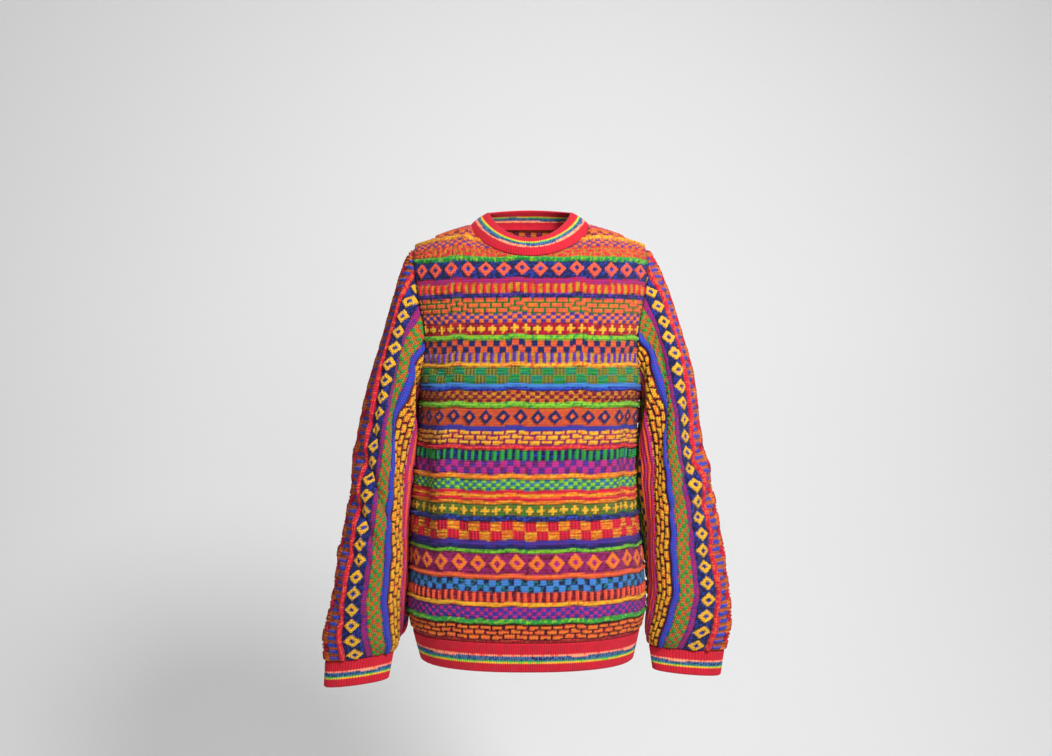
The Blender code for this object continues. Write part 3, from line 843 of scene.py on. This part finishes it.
SLEEVE_BANDS = band_table("""
baskets 25 coral magenta red 2.6
welt 9 navy navy royal 3.4
moss 19 gold maroon orange 2.4
ridges 12 green lime teal 2.8
diamonds 27 royal orange violet 2.6
welt 9 red red coral 3.4
ribs 18 maroon gold magenta 2.4
plain 8 lime lime green 1.2
bricks 25 violet coral magenta 2.2
welt 9 orange orange gold 3.4
checks 20 teal navy sky 1.8
ridges 22 orange red coral 2.8
moss 19 magenta royal maroon 2.4
welt 9 gold gold orange 3.4
crosses 18 navy lime royal 1.8
baskets 25 red orange maroon 2.6
ribs 18 orange royal coral 2.4
welt 9 red red coral 3.4
diamonds 27 navy gold royal 2.6
plain 8 magenta magenta violet 1.2
moss 19 orange green coral 2.4
welt 9 royal royal violet 3.4
bricks 25 gold maroon orange 2.2
ridges 22 magenta coral red 2.8
checks 20 navy gold royal 1.8
welt 9 green green lime 3.4
baskets 25 orange violet gold 2.6
ribs 18 coral navy red 2.4
welt 9 magenta magenta maroon 3.4
""")
for place, bands in (("body", BODY_BANDS), ("sleeve", SLEEVE_BANDS)):
    print(f"{place} bands: {sum(row[1] for row in bands)} mm")

# %% [markdown]
# ## Drawing the bands on the cloth
#
# The points of the mesh lie about 2 mm apart. The height of the knitting and its yarn
# are worked out at each of them from the band tables. A repeatable shuffle, which is the
# same for every point of one stitch, picks the flecked stitches. Shade is painted into the
# yarn colours in the grooves between bands and in the hollows of each pattern, where the
# deep knitting of the real cloth shades itself.

# %% Chart reading
STITCH_WIDTH = 0.0028
STITCH_HEIGHT = 0.0018
FLECK_SHARE = 0.30
BAND_GROOVE = 0.0016
RELIEF = 1.6
# Painted shade: the share of light that the yarn colours keep in a pattern's hollows and in the grooves
# between bands.
PAINTED_HOLLOW_LIGHT = 0.38
PAINTED_GROOVE_LIGHT = 0.3
WANDER = 0.0009


def read_bands(bands, along, across, read):
    """Calls read for each band, with the places in it and its width."""
    edges = np.concatenate(([0.0], np.cumsum([row[1] for row in bands]))) / 1000
    which = np.clip(np.searchsorted(edges, across, side="right") - 1, 0, len(bands) - 1)
    for number, row in enumerate(bands):
        here = which == number
        if here.any():
            read(here, row, along[here], across[here] - edges[number], row[1] / 1000)


def groove_at(across, width):
    """0 in the groove between two bands, 1 inside a band."""
    return ease(np.minimum(across, width - across) / BAND_GROOVE)


def band_heights(bands, along, across):
    heights = np.zeros(along.shape)

    def read(here, row, along, across, width):
        rise = PATTERNS[row[0]](along, across, width)[0]
        heights[here] = RELIEF * row[5] / 1000 * rise * groove_at(across, width)

    read_bands(bands, along, across, read)
    return heights


def shuffled(a, b):
    """A number from 0 to 1 for each stitch, the same every time."""
    mixed = np.sin(a * 12.9898 + b * 78.233) * 43758.5453
    return mixed - np.floor(mixed)


def band_colours(bands, along, across):
    """Each stitch's yarn, with painted shade where the knitting lies in a hollow or a groove."""
    colours = np.zeros(along.shape + (3,))

    def read(here, row, along, across, width):
        pattern, _, ground, figure, fleck, _ = row
        rise, on_top = PATTERNS[pattern](along, across, width)
        # Painted shade: the colour is darkened in the grooves and hollows.
        from_groove = PAINTED_GROOVE_LIGHT + (1 - PAINTED_GROOVE_LIGHT) * groove_at(across, width)
        open_to_light = ease(1.5 * rise + 0.1) * from_groove
        light = PAINTED_HOLLOW_LIGHT + (1 - PAINTED_HOLLOW_LIGHT) * open_to_light
        chance = shuffled(np.floor(along / STITCH_WIDTH), np.floor(across / STITCH_HEIGHT))
        base = np.where((chance < FLECK_SHARE)[:, None], YARNS[fleck], YARNS[ground])
        colours[here] = np.where(on_top[:, None], YARNS[figure], base) * light[:, None]

    read_bands(bands, along, across, read)
    return colours


def wandering(along):
    """How far a band strays from its line, as hand-tensioned knitting does."""
    return WANDER * (np.sin(along * 71.0) + 0.7 * np.sin(along * 133.0 + 1.3))


# %% [markdown]
# ## From a grid to a knitted mesh
#
# Every piece ends up as one mesh with two extras. Its stitch map holds the flat places in
# metres, which the shader uses to draw single stitches. Its yarn colour holds the colour at
# each point, with painted shade in the hollows, grooves and seams, and runs a little into the
# next, as fuzzy yarns do. The edges of a skin sink to the seam line that it shares with its
# neighbour, so sewn pieces meet in a soft groove, as a linked seam does, and shade is
# painted into the colour along it.

# %% Mesh builders
WALL = 0.0028
SEAM_SINK = 0.0055
PAINTED_SEAM_LIGHT = 0.55
# Each skin's points by its name, for the sleeves to keep clear of.
shapes = {}


def add_mesh(name, points, faces, places, colours, material):
    mesh = bpy.data.meshes.new(name)
    mesh.vertices.add(len(points))
    mesh.vertices.foreach_set("co", points.astype(np.float32).ravel())
    mesh.loops.add(faces.size)
    mesh.loops.foreach_set("vertex_index", faces.astype(np.int32).ravel())
    mesh.polygons.add(len(faces))
    mesh.polygons.foreach_set("loop_start", np.arange(0, faces.size, 4, dtype=np.int32))
    mesh.update(calc_edges=True)
    stitch_map = mesh.uv_layers.new(name="stitch")
    stitch_map.uv.foreach_set("vector", places.astype(np.float32).ravel())
    shades = mesh.color_attributes.new("yarn", "FLOAT_COLOR", "POINT")
    opaque = np.concatenate([colours, np.ones((len(colours), 1))], axis=1)
    shades.data.foreach_set("color", opaque.astype(np.float32).ravel())
    mesh.shade_smooth()
    mesh.materials.append(material)
    return link(bpy.data.objects.new(name, mesh))


def grid_faces(rows, columns, closed, flip):
    """Corner numbers of a grid's faces, and the grid place of each corner without wrapping."""
    across = columns if closed else columns - 1
    row, column = np.meshgrid(np.arange(rows - 1), np.arange(across), indexing="ij")
    corners_row = np.stack([row, row, row + 1, row + 1], axis=-1).reshape(-1, 4)
    corners_column = np.stack([column, column + 1, column + 1, column], axis=-1).reshape(-1, 4)
    if flip:
        corners_row = corners_row[:, ::-1]
        corners_column = corners_column[:, ::-1]
    return corners_row * columns + corners_column % columns, corners_row, corners_column


def skin(name, points, grain, closed, turn, bands, reach, material, keep_clear=None):
    """A knitted skin on a panel or a sleeve.

    reach turns its grain into a band's along and across. keep_clear, if there is one, moves
    the points that would cross another skin.
    """
    u, v = grain
    if closed:
        v = wrapped(v)
    along, across = reach(u, v)
    rows, columns = points.shape[:2]
    from_seam = np.minimum(np.abs(u - u[:, :1]), np.abs(u - u[:, -1:]))[:, :columns]
    sink = ease(np.minimum(edge_distance(points, closed), from_seam) / SEAM_SINK)
    height = (WALL / 2 + band_heights(bands, along, across)[:, :columns]) * sink
    shape = points + facing(points, closed, turn) * height[..., None]
    if keep_clear:
        shape = keep_clear(shape)
    shapes[name] = shape
    faces, corner_row, corner_column = grid_faces(rows, columns, closed, turn < 0)
    places = np.stack([u, v], axis=-1)[corner_row, corner_column]
    colours = band_colours(bands, along[:, :columns], across[:, :columns])
    # Painted shade in the soft groove along each seam.
    colours *= (PAINTED_SEAM_LIGHT + (1 - PAINTED_SEAM_LIGHT) * sink)[..., None]
    piece = add_mesh(name, shape.reshape(-1, 3), faces, places, colours.reshape(-1, 3), material)
    print(f"{name}: {2 * len(faces)} triangles")
    return piece


# %% [markdown]
# ## The knitted finish
#
# Cotton knitting is matt with a faint bloom of loose fibre. Each stitch is a V of two
# strands, higher in the middle of each strand and shaded where the strands dive under the
# next row. The shader draws that V from the stitch map, uses it as a fine bump, paints shade
# into its hollows in the base colour, and lets the yarn's tone drift a little, as a dyed and
# twisted yarn does.

# %% Knit material


def knit_material(name, stitch_width, stitch_height, bump_depth, painted_stitch_hollow_light):
    material = bpy.data.materials.new(name)
    material.use_nodes = True
    nodes = material.node_tree.nodes
    links = material.node_tree.links
    shader = nodes["Principled BSDF"]

    def maths(operation, *values):
        """A Math node's result. Numbers are set on its sockets, and the rest is linked."""
        node = nodes.new("ShaderNodeMath")
        node.operation = operation
        for number, value in enumerate(values):
            if isinstance(value, float):
                node.inputs[number].default_value = value
            else:
                links.new(value, node.inputs[number])
        return node.outputs[0]

    def noise(scale, detail):
        node = nodes.new("ShaderNodeTexNoise")
        node.inputs["Scale"].default_value = scale
        node.inputs["Detail"].default_value = detail
        links.new(stitch_map.outputs["UV"], node.inputs["Vector"])
        return node.outputs["Fac"]

    stitch_map = nodes.new("ShaderNodeUVMap")
    stitch_map.uv_map = "stitch"
    split = nodes.new("ShaderNodeSeparateXYZ")
    links.new(stitch_map.outputs["UV"], split.inputs[0])
    column = maths("FRACT", maths("DIVIDE", split.outputs[0], stitch_width))
    side = maths("ABSOLUTE", maths("SUBTRACT", column, 0.5))
    row = maths("DIVIDE", split.outputs[1], stitch_height)
    slant = maths("MULTIPLY_ADD", side, -1.5, row)
    wave = maths("MULTIPLY_ADD", maths("COSINE", maths("MULTIPLY", slant, 2 * math.pi)), 0.5, 0.5)
    from_strand = maths("MULTIPLY_ADD", side, 4.0, -1.0)
    strand = maths("SUBTRACT", 1.0, maths("MULTIPLY", from_strand, from_strand))
    stitch = maths("MULTIPLY", wave, strand)

    grain = noise(900.0, 3.0)
    drift = noise(55.0, 2.0)
    # Painted shade in the hollows of each stitch; tone and slow are the yarn's own drift.
    shade = maths("MULTIPLY_ADD", stitch, 1.0 - painted_stitch_hollow_light, painted_stitch_hollow_light)
    tone = maths("MULTIPLY_ADD", grain, 0.80, 0.72)
    slow = maths("MULTIPLY_ADD", drift, 0.50, 0.88)
    light = maths("MULTIPLY", maths("MULTIPLY", shade, tone), slow)

    colour = nodes.new("ShaderNodeVertexColor")
    colour.layer_name = "yarn"
    scaled = nodes.new("ShaderNodeVectorMath")
    scaled.operation = "SCALE"
    links.new(colour.outputs["Color"], scaled.inputs[0])
    links.new(light, scaled.inputs["Scale"])
    links.new(scaled.outputs[0], shader.inputs["Base Color"])

    bump = nodes.new("ShaderNodeBump")
    bump.inputs["Strength"].default_value = 0.8
    bump.inputs["Distance"].default_value = bump_depth
    links.new(maths("MULTIPLY_ADD", grain, 0.35, stitch), bump.inputs["Height"])
    links.new(bump.outputs["Normal"], shader.inputs["Normal"])
    links.new(maths("MULTIPLY_ADD", grain, 0.2, 0.72), shader.inputs["Roughness"])
    shader.inputs["Specular IOR Level"].default_value = 0.22
    shader.inputs["Sheen Weight"].default_value = 0.04
    shader.inputs["Sheen Roughness"].default_value = 0.45
    return material


body_knit = knit_material("multicolour_knit", 0.0046, 0.0040, 0.0018, 0.42)
rib_knit = knit_material("striped_rib", 0.0018, 0.0020, 0.0003, 0.80)
print("two knitted finishes")

# %% [markdown]
# ## Front and back
#
# The two panels are flat knitting with level bands. A band's across is the height above the
# hem seam, measured up the cloth, so the bands match at both side seams.

# %% Front and back


def level(u, v):
    return u, v + wandering(u)


front = skin("front_skin", front_form, front_grain, False, 1, BODY_BANDS, level, body_knit)
back = skin("back_skin", back_form, back_grain, False, -1, BODY_BANDS, level, body_knit)

# %% [markdown]
# ## Sleeves
#
# A sleeve is knitted in one piece and closed under the arm. Its bands run lengthwise, so a
# band's along is the way up from the cuff, and its across is the way round from the outside
# of the arm. The sleeve tapers at its underarm seam, where the outer bands run out.
#
# A hanging sleeve leans on the body, and two cloths can't share a place. So for each level
# of the body the sleeve is told how far out the body's knitting reaches, a little up and
# down as well, and its points stay just outside. It is pressed flat where it would cross.

# %% Sleeves' skins
sleeve_girth = sum(row[1] for row in SLEEVE_BANDS) / 1000
SLEEVE_CLEARANCE = 0.0016
CLEAR_ROWS = 3
CLEAR_START = 0.006


def lengthwise(u, v):
    return v, u + sleeve_girth / 2 + wandering(v)


def body_reach(outward):
    """For each level row of the body: y from front to back, and how far out its side reaches there."""
    half = PANEL_COLUMNS // 2
    in_front = shapes["front_skin"][: SIDE_ROWS + 1]
    behind = shapes["back_skin"][: SIDE_ROWS + 1]
    if outward < 0:
        sides = np.concatenate([in_front[:, half::-1], behind[:, : half + 1]], axis=1)
    else:
        sides = np.concatenate([in_front[:, half:], behind[:, : half - 1 : -1]], axis=1)
    out = outward * sides[..., 0]
    tall = np.pad(out, ((CLEAR_ROWS, CLEAR_ROWS), (0, 0)), mode="edge")
    most = np.max([tall[step : step + len(out)] for step in range(2 * CLEAR_ROWS + 1)], axis=0)
    return np.maximum.accumulate(sides[..., 1], axis=1), most


def beside_body(outward):
    """A function that keeps a sleeve's points outside the body's knitting."""
    y_of_rows, reach_of_rows = body_reach(outward)

    def keep_clear(shape):
        x, y, z = shape[..., 0], shape[..., 1], shape[..., 2]
        row_of = np.rint((z - HEM_TOP) / (UNDERARM - HEM_TOP) * SIDE_ROWS).astype(int)
        least = np.full(x.shape, -1.0)
        for row in range(SIDE_ROWS + 1):
            here = row_of == row
            least[here] = np.interp(y[here], y_of_rows[row], reach_of_rows[row]) + SLEEVE_CLEARANCE
        push = np.maximum(least - outward * x, 0) * ease((UNDERARM - z) / CLEAR_START)
        moved = shape.copy()
        moved[..., 0] += outward * push
        count = int((push > 0).sum())
        print(f"pressed flat beside the body: {count} points, at most {1000 * push.max():.1f} mm")
        return moved

    return keep_clear


sleeve_right = skin(
    "sleeve_right_skin", right_form, right_grain, True, 1,
    SLEEVE_BANDS, lengthwise, body_knit, beside_body(-1),
)
sleeve_left = skin(
    "sleeve_left_skin", left_form, left_grain, True, -1,
    SLEEVE_BANDS, lengthwise, body_knit, beside_body(1),
)

# %% [markdown]
# ## Striped ribs
#
# The neckband, hem and cuffs are fine elastic rib in red, with a narrow peach line, a
# heathered blue stripe and thin green and yellow lines. They have a real thickness and a
# rounded free edge, because these are the edges that one sees. So each is a closed wall,
# its outer points raised in ribs, with painted shade in the valleys between them, and its
# inner ones plain.

# %% Rib stripes
# yarn, flecked with, share of the width from the seam to the free edge
RIB_STRIPES = (
    ("rib red", "rib red", 0.37),
    ("peach", "coral", 0.07),
    ("heather", "navy", 0.14),
    ("green", "teal", 0.05),
    ("gold", "lime", 0.048),
    ("rib red", "rib red", 0.322),
)
STRIPE_WANDER = 0.018
STRIPE_STITCH = 0.0022
STRIPE_ROWS = 23


def stripe_colours(around, share):
    """A rib's colours, its stripes wandering a little as loose knitting does."""
    wander = np.sin(around * 61.0) * 0.6 + np.sin(around * 23.0 + 1.7) * 0.4
    place = share + STRIPE_WANDER * wander
    edges = np.cumsum([row[2] for row in RIB_STRIPES])
    which = np.clip(np.searchsorted(edges, place), 0, len(RIB_STRIPES) - 1)
    chance = shuffled(np.round(around / STRIPE_STITCH), np.round(share * STRIPE_ROWS))
    main = np.array([YARNS[row[0]] for row in RIB_STRIPES])[which]
    fleck = np.array([YARNS[row[1]] for row in RIB_STRIPES])[which]
    return np.where((chance < FLECK_SHARE)[..., None], fleck, main)


# %% Ribbed walls
RIB_HEIGHT = 0.0010
PAINTED_RIB_VALLEY_LIGHT = 0.62
POINTS_PER_RIB = 4
EDGE_ROUND = 0.0016


def ribbed(name, points, closed, turn, material):
    """A closed wall on a grid whose rows run from the seam to the free edge."""
    u, v = flat_places(points, closed)
    rows, columns = points.shape[:2]
    out = facing(points, closed, turn)
    round_edge = np.sqrt(np.clip(1 - (1 - np.clip((v[-1:] - v) / EDGE_ROUND, 0, 1)) ** 2, 0.02, 1))
    count = (columns if closed else columns - 1) // POINTS_PER_RIB
    rib = 0.5 + 0.5 * np.cos(2 * math.pi * np.arange(columns + 1) / POINTS_PER_RIB)
    outer = points + out * ((WALL / 2 + RIB_HEIGHT * rib[None, :columns]) * round_edge)[..., None]
    inner = points - out * ((WALL / 2) * round_edge)[..., None]
    lap = np.linalg.norm(points[:, 0] - points[:, -1], axis=1)[:, None]
    if closed:
        u = np.concatenate([u, u[:, -1:] - lap], axis=1)
        v = wrapped(v)
    faces, corner_row, corner_column = grid_faces(rows, columns, closed, turn < 0)
    inner_faces = faces[:, ::-1] + rows * columns
    places = np.stack([u, v], axis=-1)[corner_row, corner_column]
    inner_places = places[:, ::-1]
    share = v / v[-1:]
    colours = stripe_colours(u[:, :columns], share[:, :columns])
    # Painted shade in the valleys between the ribs of the outer face.
    light = PAINTED_RIB_VALLEY_LIGHT + (1 - PAINTED_RIB_VALLEY_LIGHT) * rib[None, :columns]
    outer_colours = colours * light[..., None]
    rims, rim_places = [], []

    def add_rim(a, b, way, rim_u, rim_v):
        rim = np.stack([b, a, a + rows * columns, b + rows * columns], axis=1)
        rims.append(rim if (way > 0) == (turn > 0) else rim[:, ::-1])
        rim_places.append(np.repeat(np.stack([rim_u, rim_v], axis=-1)[:, None], 4, axis=1))

    across = columns if closed else columns - 1
    for row, way in ((0, 1), (rows - 1, -1)):
        a = row * columns + np.arange(across)
        b = row * columns + (np.arange(across) + 1) % columns
        add_rim(a, b, way, u[row, :across], v[row, :across])
    if not closed:
        for column, way in ((0, 1), (columns - 1, -1)):
            a = np.arange(rows - 1) * columns + column
            add_rim(a + columns, a, way, u[:-1, column], v[:-1, column])
    all_faces = np.concatenate([faces, inner_faces] + rims)
    all_places = np.concatenate([places, inner_places] + rim_places)
    all_colours = np.concatenate([outer_colours.reshape(-1, 3), colours.reshape(-1, 3)])
    all_points = np.concatenate([outer.reshape(-1, 3), inner.reshape(-1, 3)])
    piece = add_mesh(name, all_points, all_faces, all_places, all_colours, material)
    print(f"{name}: {count} ribs, {2 * len(all_faces)} triangles")
    return piece


# %% [markdown]
# ## Hem
#
# The hem rib is knitted with each panel and draws it in a little. Its rows follow the
# body's own level sections, from the panel down to the free edge.

# %% Hem
HEM_ROWS = 20
HEM_COLUMNS = 140 * POINTS_PER_RIB


def hem_band(side):
    shares = np.linspace(0, 1, HEM_COLUMNS + 1)
    return np.array([level_row(side, z, shares) for z in np.linspace(HEM_TOP, HEM_BOTTOM, HEM_ROWS + 1)])


hem_front_form = hem_band(FRONT)
hem_back_form = hem_band(BACK)
hem_front = ribbed("hem_front_rib", hem_front_form, False, -1, rib_knit)
hem_back = ribbed("hem_back_rib", hem_back_form, False, 1, rib_knit)

# %% [markdown]
# ## Cuffs
#
# Each cuff is a tube of the same rib, flattened a little as it hangs, and the sleeve blouses
# over it. It starts on the sleeve's last ring and ends on the cuff's own.

# %% Cuffs
CUFF_ROWS = 20
CUFF_COLUMNS = 70 * POINTS_PER_RIB


def cuff(rings, end, outward):
    seam = table_ring(rings[-1], outward, CUFF_COLUMNS)
    edge = table_ring(end, outward, CUFF_COLUMNS)
    share = np.linspace(0, 1, CUFF_ROWS + 1)[:, None, None]
    return seam + (edge - seam) * share


cuff_right_form = cuff(RIGHT_SLEEVE_RINGS, RIGHT_CUFF_END, -1)
cuff_left_form = cuff(LEFT_SLEEVE_RINGS, LEFT_CUFF_END, 1)
cuff_right = ribbed("cuff_right_rib", cuff_right_form, True, 1, rib_knit)
cuff_left = ribbed("cuff_left_rib", cuff_left_form, True, -1, rib_knit)

# %% [markdown]
# ## Neckband
#
# The neckband is picked up round the neck seam and leans in and up. It is widest at the
# sides, and it swells a little between its two edges.

# %% Neckband
BAND_HALF_WIDTH = 0.0640
BAND_SIDE_Z = 0.024
BAND_FRONT = (-0.083, -0.025)
BAND_BACK = (0.045, 0.034)
BAND_ROWS = 20
BAND_COLUMNS = 160 * POINTS_PER_RIB
BAND_SWELL = 0.004


def neck_loop(half_width, side_z, front_end, back_end, count):
    shares = np.linspace(0, 1, count // 2 + 1)
    in_front = spread(neck_half(half_width, side_z, front_end), shares)
    behind = spread(neck_half(half_width, side_z, back_end), shares)
    return np.concatenate([in_front, behind[-2:0:-1]])


def neckband():
    seam = neck_loop(NECK_HALF_WIDTH, 0.0, NECK_FRONT, NECK_BACK, BAND_COLUMNS)
    top = neck_loop(BAND_HALF_WIDTH, BAND_SIDE_Z, BAND_FRONT, BAND_BACK, BAND_COLUMNS)
    rows = []
    for share in np.linspace(0, 1, BAND_ROWS + 1):
        row = seam + (top - seam) * share
        away = unit(row * np.array([1.0, 1.0, 0.0]))
        rows.append(row + away * BAND_SWELL * math.sin(math.pi * share))
    return np.array(rows)


neckband_form = neckband()
neckband_rib = ribbed("neckband_rib", neckband_form, True, 1, rib_knit)

# %% [markdown]
# ## What each piece stands for, and how it was cut
#
# Every piece rides on the one body and takes the place of its solid. The cloth's flat cut
# is worked out from the folded forms above, without the raised bands and ribs: the width
# and length of each piece before sewing.

# %% Join the frame


def cut_of(points, closed):
    """The flat width, length and area of a grid's cloth."""
    u, v = flat_places(points, closed)
    lap = np.linalg.norm(points[:, 0] - points[:, -1], axis=1) if closed else 0.0
    width = np.ptp(u, axis=1) + lap
    steps = np.diff(v, axis=0).mean(axis=1)
    area = float((0.5 * (width[1:] + width[:-1]) * steps).sum())
    return float(width.max()), float(v[-1].max()), area


def dress(piece, node, points, closed):
    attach(piece, "root")
    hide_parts(node)
    width, length, area = cut_of(points, closed)
    area = round(min(area, width * length), 4)
    print(f"{node}: cut {width:.3f} by {length:.3f} m, {area:.4f} square metres")


dress(front, "front", front_form, False)
dress(back, "back", back_form, False)
dress(sleeve_right, "sleeve_right", right_form, True)
dress(sleeve_left, "sleeve_left", left_form, True)
dress(hem_front, "hem_front", hem_front_form, False)
dress(hem_back, "hem_back", hem_back_form, False)
dress(cuff_right, "cuff_right", cuff_right_form, True)
dress(cuff_left, "cuff_left", cuff_left_form, True)
dress(neckband_rib, "neckband", neckband_form, True)
